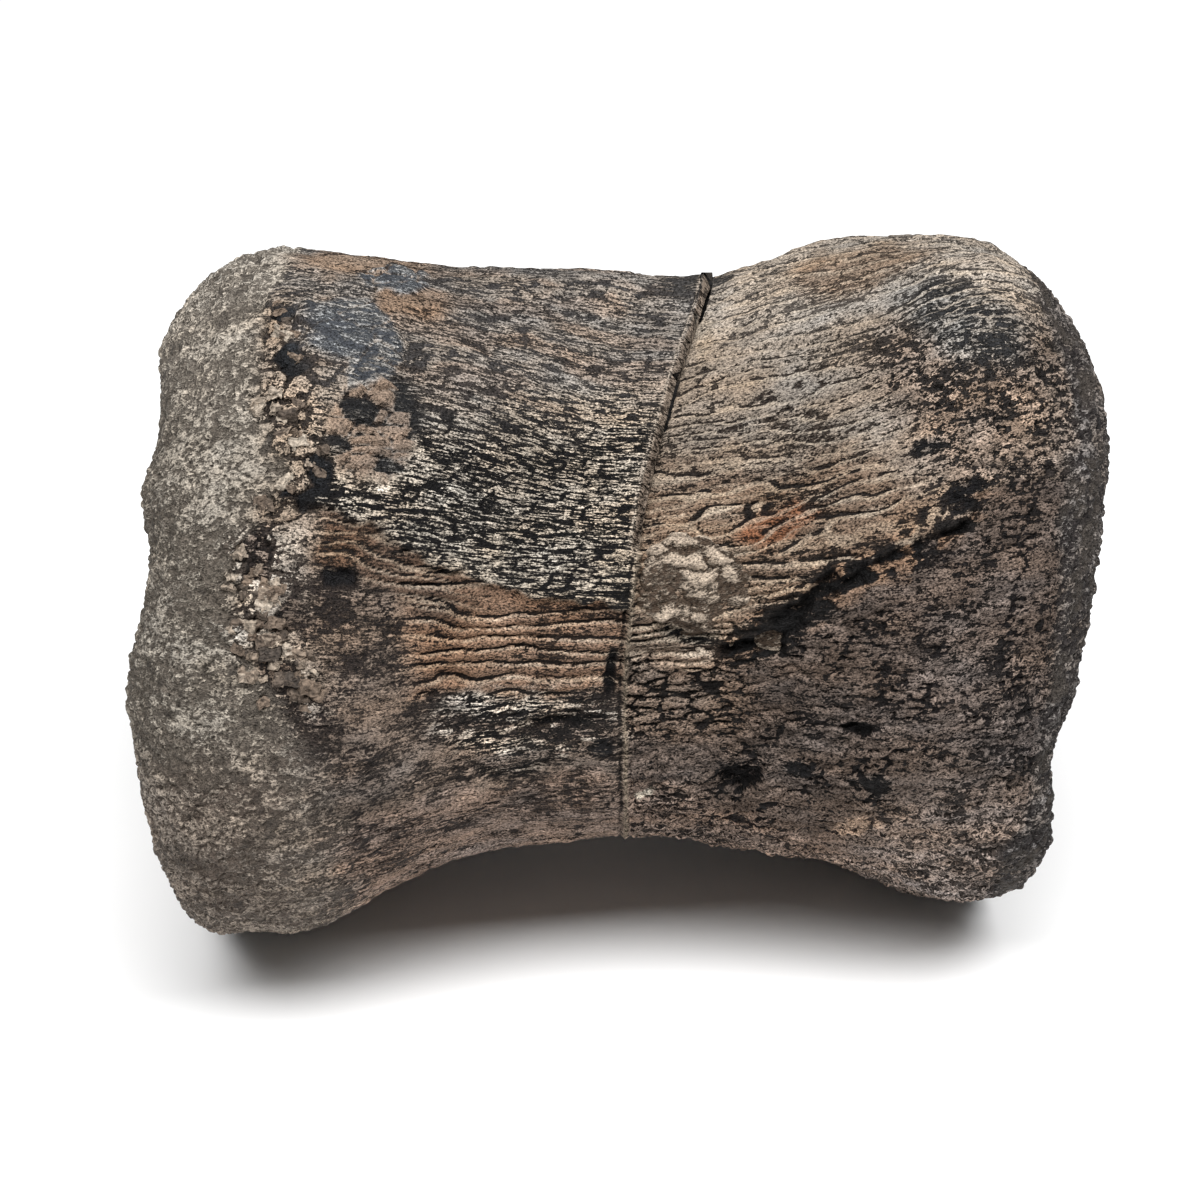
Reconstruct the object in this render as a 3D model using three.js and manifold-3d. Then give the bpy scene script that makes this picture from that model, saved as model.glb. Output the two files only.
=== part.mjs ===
// Fossil dinosaur vertebra: the spool-shaped body of one tail bone, with its arch and processes
// lost. It broke across the middle and was set together again. It lies rolled back on the lower
// rear edge of its two ends, so that one side is turned up to the front.
// Millimetres, Z up. X runs along the bone, -Y is the side that shows, the floor is at Z = 0.

import * as THREE from "three";
import { mergeVertices } from "three/addons/utils/BufferGeometryUtils.js";
import Module from "manifold-3d";

const wasm = await Module();
wasm.setup();

// Half sizes of a section, from the bone's axis up, to the side and down
const WAIST = { x: 2, dorsal: 35.5, side: 28.5, ventral: 29 };

// Each end: where its crest stands along the axis, how far the crest reaches out, how the rim
// rolls over from the crest to the end face, and how fast the waist flares towards it
const CRANIAL = {
  way: -1,
  crestAt: { dorsal: -41.8, side: -36.6, ventral: -35.6 },
  crest: { dorsal: 40.7, side: 36.5, ventral: 38.2 },
  rimLength: { dorsal: 13.6, side: 13.8, ventral: 6.2 },
  rimDrop: { dorsal: 12, side: 9, ventral: 10.6 },
  flare: { dorsal: 0.0026, side: 0.009, ventral: 0.012 },
};
const CAUDAL = {
  way: 1,
  crestAt: { dorsal: 27, side: 38.3, ventral: 42 },
  crest: { dorsal: 39.6, side: 36, ventral: 39.5 },
  rimLength: { dorsal: 21.6, side: 12.7, ventral: 13 },
  rimDrop: { dorsal: 20.4, side: 8, ventral: 2.8 },
  flare: { dorsal: 0.018, side: 0.0085, ventral: 0.0042 },
};
const SQUARENESS = 2.3;
const CREST_ROUND = 2.5;
const LEAN = 0.23;
const DISH = 4.5;

// Worn places where the rim of an end stands out or falls short: angle, spread, reach
const CRANIAL_WEAR = [[23, 7, 1.3], [1, 8, -0.7], [-17, 7, 0.3]];
const CAUDAL_WEAR = [[22, 10, 0.5], [-8, 9, 0.6], [-38, 9, -1.5], [-62, 10, 0.5]];

// Swellings and hollows of the surface: height, angle, its spread, place along X and its reach
const SIDE_RIDGE = { height: 1.1, angle: 5, spread: 10, x: 2, reach: 24 };
const SIDE_FOSSA = { height: -2, angle: -26, spread: 13, x: 4, reach: 20 };
const ARCH_STUMP = { height: 1.7, angle: 66, spread: 7, x: -5, reach: 18 };
const CANAL_FLOOR = { height: -3.6, angle: 90, spread: 8, x: -4, reach: 38 };
const REAR_EDGE = { height: 1.8, angle: 238, spread: 26, x: 42, reach: 16 };
const VENTRAL_GROOVE = { height: -1.3, angle: 270, spread: 9, x: 3, reach: 32 };
const WORN_LUMP = 0.35;

// The break: its place, how it slants and bows with height, and the step left beside it where
// the caudal half sits lower on the front
const BREAK = { x: 1.6, slant: -0.065, bow: 0.0052 };
const STEP = { depth: 1.2, from: 6, to: 74, soft: 7, fade: 14 };

// Small vessel holes in the caudal half's side: place, angle, radius, how far it is sunk
const VESSEL_HOLES = [[18, -11, 2.6, 1.9], [17, -43, 2.4, 1.5]];

// A crust of stone left on the bone beside the break
const CRUST = { x: 7.8, angle: -1, length: 5, width: 6.2, rise: 1.5 };

const GAP = 0.3;
const CRANIAL_CUT = 1;
const CAUDAL_CUT = 15;

// How it lies: rolled back, and the axis this far over the floor, with the rims worn flat below
const ROLL_BACK = 30;
const PLACE = { x: -1.06, y: -0.13, z: 38.9 };

const SEGMENTS = 60;
const BODY_STEP = 3;

const rad = THREE.MathUtils.degToRad;

function turnBetween(a, b) {
  return ((a - b + 900) % 360) - 180;
}

function bell(offset, spread) {
  return Math.exp(-((offset / spread) ** 2));
}

function softMin(a, b, k) {
  const h = THREE.MathUtils.clamp(0.5 + (0.5 * (b - a)) / k, 0, 1);
  return b + (a - b) * h - k * h * (1 - h);
}

// A size given upwards, sideways and downwards, read at any angle round the bone
function around(size, angle) {
  const up = Math.sin(rad(angle));
  const upright = up >= 0 ? size.dorsal : size.ventral;
  return size.side * (1 - up * up) + upright * up * up;
}

function halfSize(direction, x) {
  const end = x < WAIST.x ? CRANIAL : CAUDAL;
  const flared = WAIST[direction] + end.flare[direction] * (x - WAIST.x) ** 2;
  return softMin(flared, end.crest[direction], CREST_ROUND);
}

function section(x, angle) {
  const across = Math.abs(Math.cos(rad(angle))) / halfSize("side", x);
  const up = Math.sin(rad(angle));
  const upright = Math.abs(up) / halfSize(up >= 0 ? "dorsal" : "ventral", x);
  return (across ** SQUARENESS + upright ** SQUARENESS) ** (-1 / SQUARENESS);
}

function swell(form, x, angle) {
  const along = Math.exp(-(((x - form.x) / form.reach) ** 4));
  return form.height * bell(turnBetween(angle, form.angle), form.spread) * along;
}

// Everything that stands on or is sunk into the plain spool, the same on both sides of the bone
function relief(x, angle) {
  const mirrored = 180 - angle;
  let height = swell(CANAL_FLOOR, x, angle) + swell(VENTRAL_GROOVE, x, angle) + swell(REAR_EDGE, x, angle);
  for (const form of [SIDE_RIDGE, SIDE_FOSSA, ARCH_STUMP]) {
    height += swell(form, x, angle) + swell(form, x, mirrored);
  }
  const a = rad(angle);
  height += WORN_LUMP * Math.sin(x / 6.1 + 2 * a + 1) * Math.cos(3 * a - x / 9.5);
  height += WORN_LUMP * 0.7 * Math.sin(x / 3.7 - 4 * a + 2);
  return height;
}

function breakAt(angle, share) {
  const h = section(BREAK.x, angle) * Math.sin(rad(angle)) * share;
  return BREAK.x + BREAK.slant * h + BREAK.bow * h * h;
}

function stepDown(x, angle) {
  const past = x - breakAt(angle, 1);
  if (past < 0) {
    return 0;
  }
  const turn = turnBetween(angle, 0);
  const rise = 1 / (1 + Math.exp(-(turn - STEP.from) / (STEP.soft / 3)));
  const fall = 1 / (1 + Math.exp((turn - STEP.to) / (STEP.soft / 3)));
  return -STEP.depth * rise * fall * Math.exp(-past / STEP.fade);
}

function skinRadius(x, angle) {
  return section(x, angle) + relief(x, angle) + stepDown(x, angle);
}

function wear(end, angle) {
  const places = end === CRANIAL ? CRANIAL_WEAR : CAUDAL_WEAR;
  return places.reduce((sum, [at, spread, reach]) => sum + reach * bell(turnBetween(angle, at), spread), 0);
}

// One point of a rim, rolled by an angle from the crest (0) to the end face (90)
function rimPoint(end, roll, angle) {
  const out = Math.sin(rad(roll));
  const x = around(end.crestAt, angle) + end.way * (around(end.rimLength, angle) + wear(end, angle)) * out;
  const drop = around(end.rimDrop, angle) * (1 - Math.cos(rad(roll)));
  return { x, r: skinRadius(x, angle) - drop };
}

function meanOf(read) {
  let sum = 0;
  for (let i = 0; i < SEGMENTS; i += 1) {
    sum += read((360 * i) / SEGMENTS);
  }
  return sum / SEGMENTS;
}

// Rings of points round the bone. A ring is a function of the angle that gives place and radius.
// The end faces are dished, and the wear of the rim dies out just inside it
function plainEdgeX(end, angle) {
  return around(end.crestAt, angle) + end.way * around(end.rimLength, angle);
}

const cranialFaceX = meanOf((angle) => plainEdgeX(CRANIAL, angle));
const caudalFaceX = meanOf((angle) => plainEdgeX(CAUDAL, angle));

function faceRing(end, share) {
  const middle = end === CRANIAL ? cranialFaceX : caudalFaceX;
  return (angle) => {
    const edge = rimPoint(end, 90, angle);
    const dished = middle - end.way * DISH * (1 - share * share);
    const tilted = (plainEdgeX(end, angle) - middle) * share * share;
    return { x: dished + tilted + end.way * wear(end, angle) * share ** 8, r: edge.r * share };
  };
}

function rimRing(end, roll) {
  return (angle) => rimPoint(end, roll, angle);
}

function cutX(end, angle) {
  if (end === CRANIAL) {
    return around(CRANIAL.crestAt, angle) + CRANIAL_CUT;
  }
  return rimPoint(CAUDAL, CAUDAL_CUT, angle).x;
}

const cranialCutX = meanOf((angle) => cutX(CRANIAL, angle));
const caudalCutX = meanOf((angle) => cutX(CAUDAL, angle));

function cutRadius(end, angle) {
  if (end === CRANIAL) {
    return skinRadius(cutX(CRANIAL, angle), angle);
  }
  return rimPoint(CAUDAL, CAUDAL_CUT, angle).r;
}

function cutRing(end, share, shift) {
  const middle = end === CRANIAL ? cranialCutX : caudalCutX;
  return (angle) => {
    const x = middle + (cutX(end, angle) - middle) * share + shift;
    return { x, r: cutRadius(end, angle) * share };
  };
}

function breakRing(share, shift) {
  return (angle) => {
    const edge = breakAt(angle, 1) + shift;
    return { x: breakAt(angle, share) + shift, r: skinRadius(edge, angle) * share };
  };
}

// How far a point lies below the plain skin, where a cut falls on the rolled rim
function rolledIn(point, angle) {
  return skinRadius(point.x, angle) - point.r;
}

function bodyRing(from, to, t) {
  return (angle) => {
    const a = from(angle);
    const b = to(angle);
    const x = a.x + (b.x - a.x) * t;
    const drop = rolledIn(a, angle) * (1 - t) + rolledIn(b, angle) * t;
    return { x, r: skinRadius(x, angle) - drop };
  };
}

function bodyRings(from, to, length) {
  const steps = Math.round(length / BODY_STEP);
  return Array.from({ length: steps + 1 }, (_, i) => bodyRing(from, to, i / steps));
}

const FACE_SHARES = [0, 0.3, 0.55, 0.75, 0.9];
const CAP_SHARES = [0, 0.4, 0.75];
const BREAK_SHARES = [0, 0.35, 0.65, 0.85];

// A closed skin from rings in order along X. A ring of no size is a single point
function closedSkin(rings) {
  const points = [];
  const faces = [];
  let previous = null;
  for (const ring of rings) {
    const row = [];
    for (let i = 0; i < SEGMENTS; i += 1) {
      const angle = (360 * i) / SEGMENTS;
      const { x, r } = ring(angle);
      if (r < 1e-6) {
        if (i === 0) {
          points.push(new THREE.Vector3(x, 0, 0));
        }
        row.push(points.length - 1);
      } else {
        const h = r * Math.sin(rad(angle));
        points.push(new THREE.Vector3(x + LEAN * h, -r * Math.cos(rad(angle)), h));
        row.push(points.length - 1);
      }
    }
    if (previous) {
      for (let i = 0; i < SEGMENTS; i += 1) {
        const j = (i + 1) % SEGMENTS;
        if (row[i] !== row[j]) {
          faces.push(previous[i], row[i], row[j]);
        }
        if (previous[i] !== previous[j]) {
          faces.push(previous[i], row[j], previous[j]);
        }
      }
    }
    previous = row;
  }
  const geometry = new THREE.BufferGeometry().setFromPoints(points);
  geometry.setIndex(faces);
  return geometry;
}

const cranialEndRings = [
  ...FACE_SHARES.map((share) => faceRing(CRANIAL, share)),
  ...[90, 72, 54, 36, 18, 0].map((roll) => rimRing(CRANIAL, roll)),
  cutRing(CRANIAL, 1, -GAP / 2),
  ...[...CAP_SHARES].reverse().map((share) => cutRing(CRANIAL, share, -GAP / 2)),
];

const cranialBodyRings = [
  ...CAP_SHARES.map((share) => cutRing(CRANIAL, share, GAP / 2)),
  ...bodyRings(cutRing(CRANIAL, 1, GAP / 2), breakRing(1, -GAP / 2), BREAK.x - cranialCutX),
  ...[...BREAK_SHARES].reverse().map((share) => breakRing(share, -GAP / 2)),
];

const caudalBodyRings = [
  ...BREAK_SHARES.map((share) => breakRing(share, GAP / 2)),
  ...bodyRings(breakRing(1, GAP / 2), cutRing(CAUDAL, 1, -GAP / 2), caudalCutX - BREAK.x),
  ...[...CAP_SHARES].reverse().map((share) => cutRing(CAUDAL, share, -GAP / 2)),
];

const caudalEndRings = [
  ...CAP_SHARES.map((share) => cutRing(CAUDAL, share, GAP / 2)),
  cutRing(CAUDAL, 1, GAP / 2),
  ...[30, 45, 60, 75, 90].map((roll) => rimRing(CAUDAL, roll)),
  ...[...FACE_SHARES].reverse().map((share) => faceRing(CAUDAL, share)),
];

// Solids
function solidOf(geometry) {
  const plain = geometry.clone();
  plain.deleteAttribute("normal");
  plain.deleteAttribute("uv");
  const merged = mergeVertices(plain, 1e-4);
  return new wasm.Manifold(
    new wasm.Mesh({
      numProp: 3,
      vertProperties: new Float32Array(merged.attributes.position.array),
      triVerts: new Uint32Array(merged.index.array),
    })
  );
}

function geometryOf(solid) {
  const mesh = solid.getMesh();
  const geometry = new THREE.BufferGeometry();
  const places = new Float32Array((mesh.vertProperties.length / mesh.numProp) * 3);
  for (let i = 0; i < places.length / 3; i += 1) {
    places.set(mesh.vertProperties.subarray(i * mesh.numProp, i * mesh.numProp + 3), i * 3);
  }
  geometry.setAttribute("position", new THREE.BufferAttribute(places, 3));
  geometry.setIndex(new THREE.BufferAttribute(new Uint32Array(mesh.triVerts), 1));
  geometry.computeVertexNormals();
  return geometry;
}

function largest(solid) {
  return solid.decompose().sort((a, b) => b.volume() - a.volume())[0];
}

// A place on the skin, standing off it by a height
function onSkin(x, angle, height) {
  const r = skinRadius(x, angle) + height;
  const h = r * Math.sin(rad(angle));
  return new THREE.Vector3(x + LEAN * h, -r * Math.cos(rad(angle)), h);
}

let caudalBody = solidOf(closedSkin(caudalBodyRings));
for (const [x, angle, radius, sunk] of VESSEL_HOLES) {
  const ball = new THREE.IcosahedronGeometry(radius, 2);
  const middle = onSkin(x, angle, radius - sunk);
  ball.translate(middle.x, middle.y, middle.z);
  caudalBody = caudalBody.subtract(solidOf(ball));
}

// The crust is a low lump with the bone, grown by the gap, taken out of it
function grown(ring) {
  return (angle) => {
    const { x, r } = ring(angle);
    return { x, r: r < 1e-6 ? r : r + GAP };
  };
}

function crustSolid() {
  const lump = new THREE.IcosahedronGeometry(1, 4);
  const at = lump.attributes.position;
  for (let i = 0; i < at.count; i += 1) {
    const p = new THREE.Vector3().fromBufferAttribute(at, i);
    const rough = 1 + 0.07 * Math.sin(5 * p.x + 1) * Math.cos(6 * p.z) + 0.05 * Math.sin(9 * p.z + 4 * p.x);
    p.multiplyScalar(rough);
    at.setXYZ(i, p.x * CRUST.length, p.y * CRUST.rise * 2, p.z * CRUST.width);
  }
  const middle = onSkin(CRUST.x, CRUST.angle, -CRUST.rise + GAP);
  lump.translate(middle.x, middle.y, middle.z);
  return largest(solidOf(lump).subtract(solidOf(closedSkin(caudalBodyRings.map(grown)))));
}

const floorSpace = new THREE.BoxGeometry(400, 400, 400).translate(0, 0, 200);
const aboveFloor = solidOf(floorSpace);
const lying = new THREE.Matrix4().makeRotationX(-rad(ROLL_BACK)).setPosition(PLACE.x, PLACE.y, PLACE.z);

function laid(solid) {
  const geometry = geometryOf(solid).applyMatrix4(lying);
  return geometryOf(largest(solidOf(geometry).intersect(aboveFloor)));
}

const vertebra = new THREE.Group();
vertebra.name = "fossil_vertebra";

function addPart(name, solid, colour, roughness) {
  const material = new THREE.MeshStandardMaterial({ color: colour, roughness, metalness: 0 });
  const mesh = new THREE.Mesh(laid(solid), material);
  mesh.name = name;
  vertebra.add(mesh);
}

addPart("cranial_end", solidOf(closedSkin(cranialEndRings)), 0x7d756c, 0.85);
addPart("cranial_body", solidOf(closedSkin(cranialBodyRings)), 0x5c5550, 0.7);
addPart("caudal_body", caudalBody, 0x7a6e64, 0.75);
addPart("caudal_end", solidOf(closedSkin(caudalEndRings)), 0x696260, 0.85);
addPart("stone_crust", crustSolid(), 0x857869, 0.9);

export default vertebra;
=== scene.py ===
import math

import bpy
import numpy as np
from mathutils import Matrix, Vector


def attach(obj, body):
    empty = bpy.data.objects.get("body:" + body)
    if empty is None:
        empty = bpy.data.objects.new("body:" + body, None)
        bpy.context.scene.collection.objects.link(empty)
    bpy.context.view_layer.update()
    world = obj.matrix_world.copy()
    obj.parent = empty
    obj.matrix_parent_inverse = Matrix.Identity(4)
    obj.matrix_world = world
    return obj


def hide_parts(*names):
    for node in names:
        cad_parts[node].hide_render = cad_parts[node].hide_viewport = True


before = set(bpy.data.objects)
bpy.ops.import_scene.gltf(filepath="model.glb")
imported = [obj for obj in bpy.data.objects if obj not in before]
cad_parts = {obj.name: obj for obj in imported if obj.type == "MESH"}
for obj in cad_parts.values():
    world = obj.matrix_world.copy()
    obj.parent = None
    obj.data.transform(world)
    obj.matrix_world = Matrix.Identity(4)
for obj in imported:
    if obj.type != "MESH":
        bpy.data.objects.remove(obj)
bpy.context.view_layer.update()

# The bone
# One spool-shaped tail vertebra body turned to stone: dark, grooved outer bone round the waist and
# worn spongy bone at the flared ends. It broke across and was set together again.

# Main form, in millimetres and degrees. Angles run round the bone from its visible side (0)
# over the top (90). Triples are sizes upwards, sideways and downwards from the axis.
WAIST_AT = 2.0
WAIST = (35.5, 28.5, 29.0)
CRANIAL = {
    "way": -1,
    "crest_at": (-41.8, -36.6, -35.6),
    "crest": (40.7, 36.5, 38.2),
    "rim_length": (13.6, 13.8, 6.2),
    "rim_drop": (12.0, 9.0, 10.6),
    "flare": (0.0026, 0.009, 0.012),
    "wear": ((23, 7, 1.3), (1, 8, -0.7), (-17, 7, 0.3)),
}
CAUDAL = {
    "way": 1,
    "crest_at": (27.0, 38.3, 42.0),
    "crest": (39.6, 36.0, 39.5),
    "rim_length": (21.6, 12.7, 13.0),
    "rim_drop": (20.4, 8.0, 2.8),
    "flare": (0.018, 0.0085, 0.0042),
    "wear": ((22, 10, 0.5), (-8, 9, 0.6), (-38, 9, -1.5), (-62, 10, 0.5)),
}
SQUARENESS = 2.3
CREST_ROUND = 2.5
LEAN = 0.23
DISH = 4.5
ROLL_BACK = 30.0
PLACE = (-1.06, -0.13, 38.9)

# Swellings and hollows: height, angle, spread, place along the bone, reach
SIDE_FORMS = ((1.1, 5, 10, 2, 24), (-2.0, -26, 13, 4, 20), (1.7, 66, 7, -5, 18))
MIDDLE_FORMS = ((-3.6, 90, 8, -4, 38), (1.8, 238, 26, 42, 16), (-1.3, 270, 9, 3, 32))
WORN_LUMP = 0.35

# The break: place, slant, bow; and the step beside it: depth, from and to angle, softness, fade
BREAK_AT, BREAK_SLANT, BREAK_BOW = 1.6, -0.065, 0.0052
STEP_DEPTH, STEP_FROM, STEP_TO, STEP_SOFT, STEP_FADE = 1.2, 6.0, 74.0, 7.0, 14.0


def turn(a, b):
    return (a - b + 900.0) % 360.0 - 180.0


def bell(offset, spread):
    return np.exp(-((offset / spread) ** 2))


def ramp(low, high, value):
    t = np.clip((value - low) / (high - low), 0.0, 1.0)
    return t * t * (3.0 - 2.0 * t)


def around(size, deg):
    up = np.sin(np.radians(deg))
    return size[1] * (1 - up**2) + np.where(up >= 0, size[0], size[2]) * up**2


def half_size(k, x):
    cranial = x < WAIST_AT
    flared = WAIST[k] + np.where(cranial, CRANIAL["flare"][k], CAUDAL["flare"][k]) * (x - WAIST_AT) ** 2
    crest = np.where(cranial, CRANIAL["crest"][k], CAUDAL["crest"][k])
    h = np.clip(0.5 + 0.5 * (crest - flared) / CREST_ROUND, 0, 1)
    return crest + (flared - crest) * h - CREST_ROUND * h * (1 - h)


def section(x, deg):
    up, across = np.sin(np.radians(deg)), np.cos(np.radians(deg))
    upright = np.abs(up) / np.where(up >= 0, half_size(0, x), half_size(2, x))
    return ((np.abs(across) / half_size(1, x)) ** SQUARENESS + upright**SQUARENESS) ** (-1 / SQUARENESS)


def swell(form, x, deg):
    height, angle, spread, at, reach = form
    return height * bell(turn(deg, angle), spread) * np.exp(-(((x - at) / reach) ** 4))


def break_place(deg):
    h = section(np.full_like(deg, BREAK_AT), deg) * np.sin(np.radians(deg))
    return BREAK_AT + BREAK_SLANT * h + BREAK_BOW * h * h


def plain_skin(x, deg):
    r = section(x, deg)
    for form in MIDDLE_FORMS:
        r = r + swell(form, x, deg)
    for form in SIDE_FORMS:
        r = r + swell(form, x, deg) + swell(form, x, 180 - deg)
    a = np.radians(deg)
    r = r + WORN_LUMP * np.sin(x / 6.1 + 2 * a + 1) * np.cos(3 * a - x / 9.5)
    return r + 0.7 * WORN_LUMP * np.sin(x / 3.7 - 4 * a + 2)


def step_down(x, deg):
    past = x - break_place(deg)
    d = turn(deg, 0)
    rise = 1 + np.exp(-(d - STEP_FROM) * 3 / STEP_SOFT)
    fall = 1 + np.exp((d - STEP_TO) * 3 / STEP_SOFT)
    return np.where(past > 0, STEP_DEPTH / rise / fall * np.exp(-np.maximum(past, 0) / STEP_FADE), 0.0)


def wear(end, deg):
    return sum(reach * bell(turn(deg, at), spread) for at, spread, reach in end["wear"])


# Rows of points along the bone, each a ring: across the first end face, over its rim, along the
# waist to the break and on to the other end. Rings are close-set on the side that shows.
FACE_ROWS, RIM_ROWS, BODY_ROWS, EDGE_ROWS = 46, 84, 122, 12
EDGE_WIDTH = 1.3
CUT_PAST_CREST = 1.0
CAUDAL_CUT_ROLL = math.radians(15)
FRONT_COLUMNS, BACK_COLUMNS = 500, 200
deg = np.concatenate(
    [
        np.linspace(-80, 100, FRONT_COLUMNS, endpoint=False),
        np.linspace(100, 280, BACK_COLUMNS, endpoint=False),
    ]
)
COLUMNS = len(deg)


def rim_ring(end, roll):
    reach = around(end["rim_length"], deg) + wear(end, deg)
    x = around(end["crest_at"], deg) + end["way"] * reach * math.sin(roll)
    return x, plain_skin(x, deg) - step_down(x, deg) - around(end["rim_drop"], deg) * (1 - math.cos(roll))


def face_ring(end, share):
    edge_x = around(end["crest_at"], deg) + end["way"] * around(end["rim_length"], deg)
    even = np.linspace(0, 360, 360, endpoint=False)
    middle = np.mean(around(end["crest_at"], even) + end["way"] * around(end["rim_length"], even))
    x = middle - end["way"] * DISH * (1 - share**2) + (edge_x - middle) * share**2
    return x + end["way"] * wear(end, deg) * share**8, rim_ring(end, math.pi / 2)[1] * share


def body_ring(x):
    past = (x - around(CAUDAL["crest_at"], deg)) / (around(CAUDAL["rim_length"], deg) + wear(CAUDAL, deg))
    drop = around(CAUDAL["rim_drop"], deg) * (1 - np.sqrt(1 - np.clip(past, 0, 0.99) ** 2))
    return x, plain_skin(x, deg) - step_down(x, deg) - drop


CRANIAL_CUT = around(CRANIAL["crest_at"], deg) + CUT_PAST_CREST
CAUDAL_CUT = rim_ring(CAUDAL, CAUDAL_CUT_ROLL)[0]
break_x = break_place(deg)
rings, shares, marks = [], [], {}
for share in np.linspace(0, 1, FACE_ROWS, endpoint=False):
    rings.append(face_ring(CRANIAL, share))
    shares.append(share)
for roll in np.linspace(math.pi / 2, 0, RIM_ROWS, endpoint=False):
    rings.append(rim_ring(CRANIAL, roll))
for t in (0.0, 0.33, 0.67):
    rings.append(body_ring(CRANIAL_CUT - CUT_PAST_CREST + t))
marks["cranial_cut"] = len(rings)
for t in np.linspace(0, 1, BODY_ROWS, endpoint=False):
    rings.append(body_ring(CRANIAL_CUT + (break_x - EDGE_WIDTH - CRANIAL_CUT) * t))
for t in np.linspace(-EDGE_WIDTH, 0, EDGE_ROWS, endpoint=False):
    rings.append(body_ring(break_x + t))
marks["break"] = len(rings)
for t in np.linspace(0, EDGE_WIDTH, EDGE_ROWS, endpoint=False):
    rings.append(body_ring(break_x + t))
for t in np.linspace(0, 1, BODY_ROWS, endpoint=False):
    rings.append(body_ring(break_x + EDGE_WIDTH + (CAUDAL_CUT - break_x - EDGE_WIDTH) * t))
marks["caudal_cut"] = len(rings)
for roll in np.linspace(CAUDAL_CUT_ROLL, math.pi / 2, RIM_ROWS, endpoint=False):
    rings.append(rim_ring(CAUDAL, roll))
shares += [1.0] * (len(rings) - len(shares))
for share in np.linspace(1, 0, FACE_ROWS):
    rings.append(face_ring(CAUDAL, share))
    shares.append(share)
marks["end"] = len(rings) - 1
ALONG = np.array([ring[0] for ring in rings])
RADIUS = np.array([ring[1] for ring in rings])
SHARE = np.broadcast_to(np.array(shares)[:, None], ALONG.shape)
DEGREES = np.broadcast_to(deg, ALONG.shape)
ANGLE = np.radians(DEGREES)


def lie(x, r, a):
    """Bone sizes to the floor's frame: leaned, rolled back and set down."""
    h, side = r * np.sin(a), r * np.cos(a)
    c, s = math.cos(math.radians(ROLL_BACK)), math.sin(math.radians(ROLL_BACK))
    lengthwise = x + LEAN * h + PLACE[0]
    backward = -side * c + h * s + PLACE[1]
    upward = side * s + h * c + PLACE[2]
    return np.stack([lengthwise, backward, upward], -1)


def facing(points):
    along = np.gradient(points, axis=0)
    round_ = np.roll(points, -1, 1) - np.roll(points, 1, 1)
    n = np.cross(along, round_)
    n[0] = n[1].mean(0)
    n[-1] = n[-2].mean(0)
    return n / np.maximum(np.linalg.norm(n, axis=-1, keepdims=True), 1e-12)


skin = lie(ALONG, RADIUS, ANGLE)
out = facing(skin)

# Places on the bone's side, in millimetres along and up it, and whether it is the side that shows
SIDE_UP = RADIUS * np.sin(ANGLE)
SIDE_ALONG = ALONG + LEAN * SIDE_UP
FRONT = ramp(-0.02, 0.2, np.cos(ANGLE)) * ramp(0.9, 1.0, SHARE)

# The grain runs along the bone, fans out with its flare and drifts down towards the break, so it
# is read on an even cylinder that is twisted a little
EVEN_RADIUS = 31.0
DRIFT_CRANIAL, DRIFT_CAUDAL = 0.10, 0.07
drift = DRIFT_CRANIAL * np.minimum(ALONG - WAIST_AT, 0) - DRIFT_CAUDAL * np.maximum(ALONG - WAIST_AT, 0)
TWIST = ANGLE + drift / EVEN_RADIUS
first_body = FACE_ROWS + RIM_ROWS
inward = np.ones(ALONG.shape)
inward[:first_body] = np.minimum(RADIUS[:first_body] / RADIUS[first_body], 1)
inward[marks["caudal_cut"] :] = np.minimum(RADIUS[marks["caudal_cut"] :] / RADIUS[marks["caudal_cut"]], 1)
grain = np.stack([ALONG, EVEN_RADIUS * inward * np.cos(TWIST), EVEN_RADIUS * inward * np.sin(TWIST)], -1)


def lattice(c, seed):
    h = c[..., 0] * np.uint32(374761393) + c[..., 1] * np.uint32(668265263)
    h = h + c[..., 2] * np.uint32(3266489917) + np.uint32((seed * 974711 + 12345) & 0xFFFFFFFF)
    h = (h ^ (h >> np.uint32(15))) * np.uint32(2246822519)
    h = (h ^ (h >> np.uint32(13))) * np.uint32(3266489917)
    return (h ^ (h >> np.uint32(16))).astype(np.float64) / 4294967295.0


def noise(p, seed):
    """Smooth noise from 0 to 1, one lump to a unit."""
    base = np.floor(p)
    f = p - base
    f = f * f * f * (f * (f * 6 - 15) + 10)
    c = base.astype(np.int64).astype(np.uint32)
    total = 0.0
    for i in (0, 1):
        for j in (0, 1):
            for k in (0, 1):
                w = (f[..., 0] if i else 1 - f[..., 0]) * (f[..., 1] if j else 1 - f[..., 1])
                w = w * (f[..., 2] if k else 1 - f[..., 2])
                total = total + w * lattice(c + np.array([i, j, k], np.uint32), seed)
    return total


def rough(p, seed, octaves=3):
    total, weight = 0.0, 0.0
    for i in range(octaves):
        total = total + noise(p * 2.03**i, seed + i) * 0.5**i
        weight += 0.5**i
    return total / weight


def cells(p, seed):
    """How far inside its cell a place is, and the cell's own number from 0 to 1."""
    base = np.floor(p).astype(np.int64)
    near = np.full(p.shape[:-1], 9.0)
    following = near.copy()
    owner = np.zeros_like(near)
    for i in (-1, 0, 1):
        for j in (-1, 0, 1):
            for k in (-1, 0, 1):
                c = base + np.array([i, j, k])
                u = c.astype(np.uint32)
                number = lattice(u, seed)
                middle = np.stack([number, lattice(u, seed + 1), lattice(u, seed + 2)], -1)
                d = np.linalg.norm(c + 0.1 + 0.8 * middle - p, axis=-1)
                closer = d < near
                following = np.where(closer, near, np.minimum(following, d))
                owner = np.where(closer, number, owner)
                near = np.minimum(near, d)
    return following - near, owner


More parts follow.
